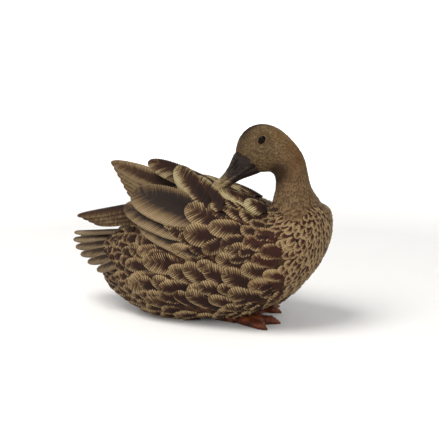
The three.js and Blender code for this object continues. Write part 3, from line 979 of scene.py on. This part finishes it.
# Longest feathers of the head, the neck and the breast.
HEAD_FEATHER = 6.1 * MM
NECK_FEATHER = 9.6 * MM
BREAST_FEATHER = 16 * MM
# Where the breast, rump, back and belly start, in mm along the body and in height.
BREAST_FROM, RUMP_FROM, BACK_FROM, BELLY_FROM = 74, -95, 118, 30


def zone_of(point, length):
    """The piece that a feather belongs to."""
    side = "right" if point[1] < HOME[1] else "left"
    x, z = (point[0] - HOME[0]) / MM, point[2] / MM
    if length < HEAD_FEATHER:
        return "coat_head"
    if length < NECK_FEATHER:
        return "coat_neck"
    if x > BREAST_FROM:
        return "coat_breast_" + side
    if x < RUMP_FROM:
        return "coat_rump_" + side
    if z > BACK_FROM:
        return "coat_back_" + side
    if z < BELLY_FROM:
        return "coat_belly_" + side
    return "coat_flank_" + side


ZONE_PAINT = {
    "coat_head": (HEAD, "head_paint"), "coat_neck": (NECK, "neck_paint"), "coat_breast": (BREAST, "body_paint"),
}
coats = {}


def coat_for(zone):
    if zone not in coats:
        kind = "_".join(zone.split("_")[:2])
        material, slot = ZONE_PAINT.get(kind, (BODY, "body_paint"))
        coats[zone] = Coat(zone, material, slot)
    return coats[zone]


def seen_feathers():
    """Root, heading and size of each feather that the picture shows whole."""
    feathers = []
    for tip_x, tip_y, root_x, root_y, width in SEEN_RAISED + SEEN:
        root, tip = seen_on_skin(root_x, root_y), seen_on_skin(tip_x, tip_y)
        if root is not None and tip is not None:
            heading, length = unit(tip - root), np.linalg.norm(tip - root)
            hidden = HIDDEN_ROOT * length
            root, _ = on_skin(root - heading * hidden)
            feathers.append((root, heading, (length * SEEN_LENGTH + hidden, width * MM * SEEN_OVERLAP)))
    return feathers


def filled_in(feathers):
    """Roots, headings and sizes of these feathers, and of as many scattered ones as there is room for."""
    spots = scattered(CANDIDATES)
    spots = spots[~covered_by_hard_parts(spots)]
    roots, headings = np.zeros((2, len(spots) + len(feathers), 3))
    sizes = np.ones((len(roots), 2))
    for count, feather in enumerate(feathers):
        roots[count], headings[count], sizes[count] = feather
    count = len(feathers)
    for spot, lie, length, width in zip(spots, *lie_of(spots)):
        away = roots[:count] - spot
        along = (away * headings[:count]).sum(1)
        across = (away**2).sum(1) - along**2
        closeness = BREAST_CLOSENESS if NECK_FEATHER < length < BREAST_FEATHER else 1
        reach = closeness * SPACING_ALONG * 0.5 * (sizes[:count, 0] + length)
        wide = closeness * SPACING_ACROSS * 0.5 * (sizes[:count, 1] + width)
        if ((along / reach) ** 2 + across / wide**2).min(initial=9) < 1:
            continue
        roots[count], headings[count], sizes[count] = spot, lie, (length, width)
        count += 1
    return roots[:count], headings[:count], sizes[:count]


# How much scattered feathers differ: their turn in radians, and the limits of their length and width.
SWING = 0.12
LENGTHS = (0.92, 1.1)
WIDTHS = (0.92, 1.08)


def raised(length, small):
    """How deep a feather's root is sunk, and how high its tip is raised."""
    return (0.35 * MM, 0.25 * MM) if small else (0.07 * length, 0.03 * length + 0.4 * MM)


# How high the tips of the feathers over the tertials are raised, as a share of their length.
TIP_OVER_TERTIALS = 0.13


def grow_coat():
    seen = seen_feathers()
    for k, (root, heading, (length, width)) in enumerate(zip(*filled_in(seen))):
        coat = coat_for(zone_of(root, length))
        small = length < NECK_FEATHER
        swing = RNG.normal(0, SWING)
        if k >= len(seen):
            _, normal = on_skin(root)
            heading = heading * math.cos(swing) + np.cross(normal, heading) * math.sin(swing)
            length *= RNG.uniform(*LENGTHS)
            width *= RNG.uniform(*WIDTHS)
        vane = body_vane(length, width, int(RNG.integers(VARIANTS)))
        sheet = wrapped_sheet(root, heading, vane.length, vane.half)
        sink, rise = raised(length, small)
        if k < len(SEEN_RAISED):
            rise = TIP_OVER_TERTIALS * length
        coat.add(vane, sheet, sink, rise, RNG.uniform(-1, 1))


grow_coat()
for _coat in coats.values():
    _coat.build()


# ---- Long feathers that stand clear of the skin: tertials, scapulars, primaries and tail. ----

# What Vane is told of a long feather, where the feather's own call says nothing else.
LONG_PLAN = dict(
    pitch=2.8, columns=11, base=0.6, slant=(1.3, 0.7), relief=0.55, edge=4.0, camber=2.5, quill=0.5,
)


def stand(coat, root, tip, face, width, *, bow=0.0, droop=0.0, tone=0.0, **plan):
    """Adds one free feather from root to tip, in mm, with its outer side towards face."""
    root, tip = at(*root), at(*tip)
    vane = Vane(np.linalg.norm(tip - root) / MM, width, **(LONG_PLAN | plan))
    coat.add(vane, free_sheet(root, tip, np.array(face, float), vane.half, bow * MM, droop * MM), 0, 0, tone)


# Root, tip and outer side on the left wing, width, size of the dark heart, its shift to the upper edge.
TERTIALS = [
    ((-4, 66, 135), (-118, 45, 159), (0.1, 0.72, 0.69), 51, (0.64, 1.06), 0.1),
    ((-8, 69, 114), (-126, 51, 143), (0.1, 0.8, 0.6), 38, (0.5, 1.04), -0.12),
    ((-10, 72, 97), (-103, 57, 124), (0.1, 0.86, 0.5), 31, (0.45, 1.04), -0.12),
]


def grow_tertials(name, side, spread):
    coat = Coat(name, TERTIAL, "wing_paint")
    for k, (root, tip, face, width, core, shift) in enumerate(TERTIALS):
        root, tip = flipped(root, side, spread), flipped(tip, side, spread)
        stand(coat, root, tip, flipped(face, side), width, thick=2.6, bow=4, droop=3, core=core,
              shift=-side * shift, seed=k + 40, tone=-0.2 * k)
    return coat.build()


# Root, tip, outer side, width, bow, size of the dark heart, and its shift towards the upper edge.
SCAPULARS_RIGHT = [
    ((40, -24, 143), (-24, -28, 164), (0, -0.6, 0.8), 28, 5, (0.5, 0.66), 0.5),
    ((44, -17, 146), (2, -20, 161), (0, -0.5, 0.86), 20, 3, (0.7, 0.8), 0.3),
    ((-9, -60, 149), (-76, -6, 187), (-0.4, -0.7, 0.6), 30, 4, (0.62, 0.95), 0.36),
    ((9, -57, 147), (-47, -21, 178), (-0.35, -0.7, 0.62), 27, 6, (0.54, 0.85), 0.3),
    ((52, -26, 143), (24, -30, 155), (0, -0.6, 0.8), 20, 2, (0.6, 0.75), 0.1),
]
SCAPULARS_LEFT = [
    ((-26, 6, 156), (-130, 24, 188), (0.1, -0.5, 0.86), 32, 5, (1.0, 1.1), 0.2),
    ((-20, 22, 152), (-96, 42, 176), (0.1, -0.1, 1), 30, 4, (0.75, 0.9), 0.0),
    ((0, 34, 148), (-66, 50, 168), (0.1, 0.3, 0.9), 28, 4, (0.7, 0.85), 0.0),
    ((24, 30, 148), (-30, 38, 164), (0.1, 0.2, 0.95), 24, 3, (0.7, 0.85), 0.0),
]


def grow_scapulars(name, rows, first_seed):
    coat = Coat(name, WING, "wing_paint")
    for k, (root, tip, face, width, bow, core, shift) in enumerate(rows):
        stand(coat, root, tip, face, width, thick=2.2, bow=bow, droop=3, seed=k + first_seed, core=core,
              shift=shift, columns=9)
    return coat.build()


RIGHT_PRIMARIES = 4


def grow_primaries_right():
    coat = Coat("primaries_right_vanes", QUILL, "quill_paint")
    for k in range(RIGHT_PRIMARIES):
        root = (-94, -42 + 2 * k, 147 - 6.5 * k)
        tip = (-215 + 9 * k, -13 - 2 * k, 116 - 2.08 * k)
        stand(coat, root, tip, (0, -0.55, 0.84), 14, thick=2.2, point=0.4, blunt=2.1, droop=1.5, pitch=2.2,
              core=(0.85, 1.1), seed=k + 70, columns=7, tone=-0.5)
    return coat.build()


FAR_BLADE_STEPS = 6


def grow_primaries_left():
    """The far wing's blade: broad feathers side by side, each with a face on both sides of the blade."""
    coat = Coat("primaries_left_vanes", QUILL, "quill_paint")
    for k in range(FAR_BLADE_STEPS):
        down = k / (FAR_BLADE_STEPS - 1)
        tip = (-197 + 25 * down, 47 - 4 * down, 181 - 38 * down)
        root = (-76 + 6 * down, 24 + 2 * down, 152 - 44 * down)
        for outer in (-1, 1):
            face = (0.1 * outer, 0.9 * outer, -0.42 * outer)
            stand(coat, root, tip, face, 25 - 8 * down, thick=1.4, blunt=1.8, droop=1.5, pitch=2.6,
                  core=(0.55, 0.9), seed=k + 80, columns=7, tone=0.4 - 0.4 * down)
    return coat.build()


TAIL_PAIRS = 5
COVERT_PAIRS = 4


def side_of(spread):
    """-1 on the tail's right side, 1 on its left side and 0 in its middle."""
    return (spread > 0) - (spread < 0)


def tail_point(spread, reach):
    """A point of the tail's fan: spread -1 to 1 from right to left, reach 0 at its root to 1 at its tips."""
    lower, side = abs(spread), side_of(spread)
    root = np.array((-118 + 8 * lower, side * 34 * lower, 103 - 20 * lower))
    tip = np.array((-229 + 58 * lower**1.7, side * 45 * lower, 90 - 35 * lower))
    return root + (tip - root) * reach


def tail_face(spread):
    """The outer side of the tail's fan."""
    return 0, side_of(spread) * 0.7 * min(1, 2 * abs(spread)), 0.7


def grow_tail():
    coat = Coat("tail_vanes", TAIL, "quill_paint")
    for k in range(-TAIL_PAIRS, TAIL_PAIRS + 1):
        spread = k / TAIL_PAIRS
        stand(coat, tail_point(spread, 0), tail_point(spread, 1), tail_face(spread), 12.8, thick=3.0, point=0.3,
              droop=2.4, edge=3.4, camber=1.2, pitch=2.0, core=(0.5, 0.9), base=0.75, seed=k + 100, columns=8,
              slant=(0.5, 0.5))
    return coat.build()


# How far out on the fan the last covert lies, in pairs, and the fan's length in mm.
COVERT_SPREAD = 4.6
TAIL_LENGTH = 105


def grow_tail_coverts():
    """Two rows of short feathers over the tail's root, the upper row set half a feather to the side."""
    coat = Coat("tail_coverts", BODY, "body_paint")
    for row, (reach, length, width) in enumerate([(0.04, 34, 15), (-0.14, 32, 16)]):
        for k in range(-COVERT_PAIRS, COVERT_PAIRS + 1):
            spread = (k + 0.5 * row) / COVERT_SPREAD
            lift = np.array((0, side_of(spread) * 1.5, 4.0))
            root = tail_point(spread, reach) + lift * 0.3
            tip = tail_point(spread, reach + length / TAIL_LENGTH) + lift
            stand(coat, root, tip, tail_face(spread), width, thick=1.8, droop=2.0, bow=1.5, core=(0.6, 0.7),
                  seed=k + 120 + 20 * row, columns=6, edge=3, camber=1.5, quill=0)
    return coat.build()


tertials_right = grow_tertials("tertials_right", -1, 0)
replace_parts(tertials_right, "wing_right")
tertials_left = grow_tertials("tertials_left", 1, 7)
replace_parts(tertials_left, "wing_left")
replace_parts(grow_scapulars("scapular_vanes_right", SCAPULARS_RIGHT, 50), "scapulars_right")
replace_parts(grow_scapulars("scapular_vanes_left", SCAPULARS_LEFT, 60), "scapulars_left")
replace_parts(grow_primaries_right(), "primaries_right")
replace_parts(grow_primaries_left(), "primaries_left")
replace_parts(grow_tail(), "tail")
grow_tail_coverts()


# ---- Bill. ----

# Where the bill's middle line starts in the head plane, its direction, and its length in mm.
BILL_BASE = (54.5, 210.5)
BILL_AXIS = (0.744, -0.668)
BILL_LENGTH = 66
BILL_VOXEL = 0.8 * MM
# Smoothing steps, and the height of each half's rim at the base and how far it rises towards the tip.
BILL_SMOOTHING = 4
BILL_RIMS = {"bill_upper": (-9.5, 7.5), "bill_lower": (-13, 11)}
NOSTRIL_ALONG = 24
NOSTRIL_RISE = 5.7
NOSTRIL_SLOPE = -0.21


def bill_coordinates(points):
    """How far along the bill from its base, how far above its middle line, and how far to the left, in mm."""
    reach, height, left = face_coordinates(points)
    reach, height = reach - BILL_BASE[0], height - BILL_BASE[1]
    along = reach * BILL_AXIS[0] + height * BILL_AXIS[1]
    rise = -reach * BILL_AXIS[1] + height * BILL_AXIS[0]
    return along, rise, left


def nostril_depth(along, rise, left):
    """1 in the middle of either nostril's slot, 0.75 in the fold below it, 0 away from both."""
    past = along - NOSTRIL_ALONG
    above = rise - NOSTRIL_RISE - NOSTRIL_SLOPE * past
    slot = bell(np.hypot(past / 6.0, above / 1.4))
    fold = bell(np.hypot((past - 1.5) / 5, (above + 4.4) / 1.1))
    return (slot + 0.75 * fold) * (np.abs(left) > 3)


def bill_paint():
    """Dark grey horn that turns olive-yellow towards its tip and rim."""
    paint = Paint("bill_horn", roughness=0.55, specular=0.12)
    streak = paint.noise(120, 4.0, (1, 1, 3))
    horn = paint.ramp(streak, [(0.3, (17, 12, 10)), (0.7, (46, 36, 30))])
    olive = paint.ramp(streak, [(0.3, (108, 90, 62)), (0.7, (166, 144, 107))])
    uneven = paint.math("MULTIPLY", paint.math("SUBTRACT", streak, 0.5), 0.7)
    place = paint.math("ADD", paint.attribute("olive"), uneven)
    colour = paint.mix(paint.spread(place, 0.1, 1.0), horn, olive)
    colour = paint.mix(paint.attribute("hollow"), colour, INK)
    return paint.finish(colour, 900, 0.08 * MM)


def make_bill(part, material):
    bill = remeshed(part + "_horn", [part], BILL_VOXEL, BILL_SMOOTHING)
    points, normals = mesh_points(bill.data), mesh_points(bill.data, "normal")
    along, rise, left = bill_coordinates(points)
    upper = part == "bill_upper"
    share = np.clip(along / BILL_LENGTH, 0, 1)
    from_rim = rise - BILL_RIMS[part][0] - BILL_RIMS[part][1] * share
    near_rim = bell(from_rim) * smoothstep(2, 12, along)
    groove = bell((from_rim - 2.6) / 0.9) * smoothstep(4, 14, along) * smoothstep(64, 52, along)
    nail = smoothstep(55, 60, along) * smoothstep(4.5, 3, np.abs(left))
    nostril = nostril_depth(along, rise, left) * upper
    ridge = bell(left / 3) * smoothstep(0.0, 0.15, share) * smoothstep(0.7, 0.4, share) * (rise > 0)
    move = 0.35 * near_rim - 0.5 * groove + 0.35 * nail - 2.4 * nostril + 0.3 * ridge
    wrinkle = 0.12 * np.sin(along * 2.1 + 0.8 * np.sin(rise * 0.9)) * smoothstep(24, 4, along)
    points += normals * ((move + wrinkle) * MM)[:, None]
    set_points(bill.data, points)
    # The last term is a painted highlight: a pale halo round each nostril's rim.
    olive = smoothstep(28, 66, along) + (0.2 * near_rim if upper else 0.0) + 0.2 * (nostril**0.35 - nostril)
    set_attribute(bill.data, "olive", np.clip(olive, 0, 1))
    set_attribute(bill.data, "hollow", np.clip(2.2 * nostril + 0.35 * groove + (0 if upper else 0.45), 0, 1))
    set_paint(bill, material)
    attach(bill, "root")
    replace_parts(bill, part)


# ---- Eyes and lids. ----


def eye_paint():
    paint = Paint("eye_varnish", roughness=0.15, specular=0.06)
    iris = paint.ramp(paint.noise(700, 3.0), [(0.3, (28, 8, 7)), (0.7, (60, 18, 15))])
    colour = paint.mix(paint.spread(paint.attribute("iris"), 0.4, 0.6), (8, 5, 4), iris)
    paint.put(paint.shader.inputs["Base Color"], colour)
    return paint.material


def make_eye(side, name, material):
    centre, out, long, short = eye_frame(side)
    bm = bmesh.new()
    ellipsoid(bm, centre, [tuple(axis * EYE_RADIUS) for axis in (long, short, out)])
    eye = new_object(name, mesh_from(bm, bpy.data.meshes.new(name)))
    away = (mesh_points(eye.data) - centre) / EYE_RADIUS
    off_axis = np.hypot(away @ long - PUPIL_SHIFT, away @ short) + (away @ out < 0)
    iris = smoothstep(PUPIL_SHARE - PUPIL_SOFTNESS, PUPIL_SHARE + PUPIL_SOFTNESS, off_axis)
    set_attribute(eye.data, "iris", iris)
    shade_smooth(eye.data)
    set_paint(eye, material)
    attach(eye, "root")
    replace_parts(eye, "eye_right" if side < 0 else "eye_left")


def lid_paint():
    paint = Paint("lid_paint", roughness=0.75, specular=0.1)
    colour = paint.ramp(paint.noise(300, 3.0), [(0.3, TAUPE), (0.7, OLIVE)])
    colour = paint.mix(paint.attribute("crease"), colour, INK)
    return paint.finish(colour)


def make_lids(side, name, material):
    """Both lids as one ring that hugs the eyeball, creased outside, with its pointed corner at the bill."""
    centre, out, long, short = eye_frame(side)
    wide, tall = LID_OPENING
    points, crease = [], []
    for share, height in LID_SECTION:
        for k in range(LID_POINTS):
            turn = 2 * math.pi * k / LID_POINTS
            to_corner = max(0, -math.cos(turn))
            a = wide * share * math.cos(turn) * (1 + CORNER_LENGTH * to_corner**6) * MM
            b = tall * share * math.sin(turn) * (1 - CORNER_FLATNESS * to_corner**2) * MM
            spread = math.hypot(a, b) / EYE_RADIUS
            sink = EYE_RADIUS * min(1 - math.sqrt(max(1 - spread**2, 0)), LID_FALL)
            points.append(centre + long * a + short * b + out * (EYE_RADIUS - sink + height * MM))
            crease.append(1.0 if share < LID_RIM else 0.75 if share in LID_CREASES else 0.1)
    rings = len(LID_SECTION)
    faces = []
    for i in range(rings):
        near, over = i * LID_POINTS, (i + 1) % rings * LID_POINTS
        for k in range(LID_POINTS):
            after = (k + 1) % LID_POINTS
            faces.append((near + k, near + after, over + after, over + k))
    lids = mesh_object(name, points, faces)
    bm = bmesh.new()
    bm.from_mesh(lids.data)
    bmesh.ops.recalc_face_normals(bm, faces=bm.faces)
    mesh_from(bm, lids.data)
    set_attribute(lids.data, "crease", crease)
    shade_smooth(lids.data)
    set_paint(lids, material)
    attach(lids, "root")


# ---- Feet. ----

FOOT_VOXEL = 1.0 * MM
FOOT_SMOOTHING = 3
SCUTE_STEP = 3.0
# How much fuller the modelled foot is than its plain solid, in mm.
FOOT_PADDING = 0.9
KNUCKLES = {"foot_right": (12, -17, 0), "foot_left": (-6, 42, 0)}


def foot_paint():
    """Orange-red, with painted shade near the floor and round the knuckle towards the shank, under the body,
    and the statue's dark wash with painted shade in the hollows between the scutes.
    """
    paint = Paint("foot_skin", roughness=0.55, specular=0.2)
    blotch = paint.noise(150, 5.0)
    colour = paint.ramp(blotch, [(0.3, (40, 17, 9)), (0.5, (90, 41, 19)), (0.75, (132, 74, 36))])
    colour = paint.mix(paint.attribute("wash"), colour, INK)
    return paint.finish(colour, 1400, 0.1 * MM)


def make_foot(part, material):
    foot = remeshed(part + "_webbed", [part], FOOT_VOXEL, FOOT_SMOOTHING)
    points, normals = mesh_points(foot.data), mesh_points(foot.data, "normal")
    away = (points - at(*KNUCKLES[part])) / MM
    far = np.hypot(away[:, 0], away[:, 1])
    turn = np.arctan2(away[:, 1], away[:, 0])
    upper = smoothstep(0.1, 0.6, normals[:, 2])
    scutes = np.sin(far * 2 * math.pi / SCUTE_STEP) * upper * smoothstep(4, 10, far)
    warts = np.sin(far * 1.3 + 5 * turn) * np.sin(turn * 23 + 0.4 * far) * upper
    points += normals * ((FOOT_PADDING + 0.28 * scutes + 0.22 * warts) * MM)[:, None]
    points[:, 2] = np.maximum(points[:, 2], 0)
    set_points(foot.data, points)
    # The wash attribute is painted shade near the floor and round the knuckle, and the statue's wash with
    # painted shade in the scutes' grooves.
    low = smoothstep(5, 0.5, points[:, 2] / MM)
    set_attribute(foot.data, "wash", np.clip(0.45 * low + 0.3 * (scutes < -0.3) + 0.4 * (far < 8), 0, 1))
    set_paint(foot, material)
    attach(foot, "root")
    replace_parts(foot, part)


HORN = bill_paint()
make_bill("bill_upper", HORN)
make_bill("bill_lower", HORN)
VARNISH, LID = eye_paint(), lid_paint()
for _side, _word in ((-1, "right"), (1, "left")):
    make_eye(_side, "eyeball_" + _word, VARNISH)
    make_lids(_side, "eyelids_" + _word, LID)
FOOT = foot_paint()
for _part in KNUCKLES:
    make_foot(_part, FOOT)


# ---- Stage. ----

# Half of the section of the round paper bowl that the statue stands in: radius and height, in metres.
BOWL = [(0.3, 0), (0.6, 0), (1.0, 0), (1.5, 0), (1.9, 0.02), (2.2, 0.12), (2.45, 0.4), (2.6, 0.9), (2.65, 1.5)]
BOWL_SIDES = 48
# The paper's two greys, how strongly it glows, the distances in metres that this comes in between, and how
# strongly the sky glows.
PAPER = ((238.6,) * 3, (243.4,) * 3)
GLOW = 0.69
GLOW_FROM = (0.5, 1.6)
SKY = 0.26


def make_stage():
    points = [(0, 0, 0)]
    for radius, up in BOWL:
        for k in range(BOWL_SIDES):
            turn = 2 * math.pi * k / BOWL_SIDES
            points.append((radius * math.cos(turn), radius * math.sin(turn), up))
    faces = []
    for k in range(BOWL_SIDES):
        after = (k + 1) % BOWL_SIDES
        faces.append((0, 1 + k, 1 + after))
        for ring in range(len(BOWL) - 1):
            inner, outer = 1 + ring * BOWL_SIDES, 1 + (ring + 1) * BOWL_SIDES
            faces.append((inner + k, outer + k, outer + after, inner + after))
    floor = mesh_object("floor", points, faces)
    far = np.hypot(*np.array(points)[:, :2].T)
    set_attribute(floor.data, "glow", smoothstep(*GLOW_FROM, far))
    shade_smooth(floor.data)
    paint = Paint("floor_paint", roughness=0.9, specular=0.1)
    paint.shader.inputs["Emission Color"].default_value = (1, 1, 1, 1)
    paint.put(paint.shader.inputs["Emission Strength"], paint.math("MULTIPLY", paint.attribute("glow"), GLOW))
    set_paint(floor, paint.finish(paint.ramp(paint.noise(3, 2.0), list(enumerate(PAPER)))))


def make_sky():
    world = bpy.data.worlds.new("world")
    bpy.context.scene.world = world
    world.use_nodes = True
    sky = world.node_tree.nodes["Background"]
    sky.inputs["Color"].default_value = (1, 1, 1, 1)
    sky.inputs["Strength"].default_value = SKY
    bpy.context.scene.view_settings.view_transform = "Standard"


# Name, place and width in metres, power in watts, colour.
LIGHTS = [
    ("key", (-0.35, -0.8, 1.7), 1.1, 29, (1.0, 0.97, 0.92)),
    ("fill", (1.2, -1.4, 0.7), 1.2, 6, (1.0, 0.98, 0.95)),
]


def soft_light(name, place, size, power, colour):
    """A round light that faces what the camera faces."""
    data = bpy.data.lights.new(name, "AREA")
    data.shape = "DISK"
    data.size = size
    data.energy = power
    data.color = colour
    light = new_object(name, data)
    light.location = place
    light.rotation_euler = (Vector(CAMERA_TARGET) - Vector(place)).to_track_quat("-Z", "Y").to_euler()


make_stage()
make_sky()
for _light in LIGHTS:
    soft_light(*_light)
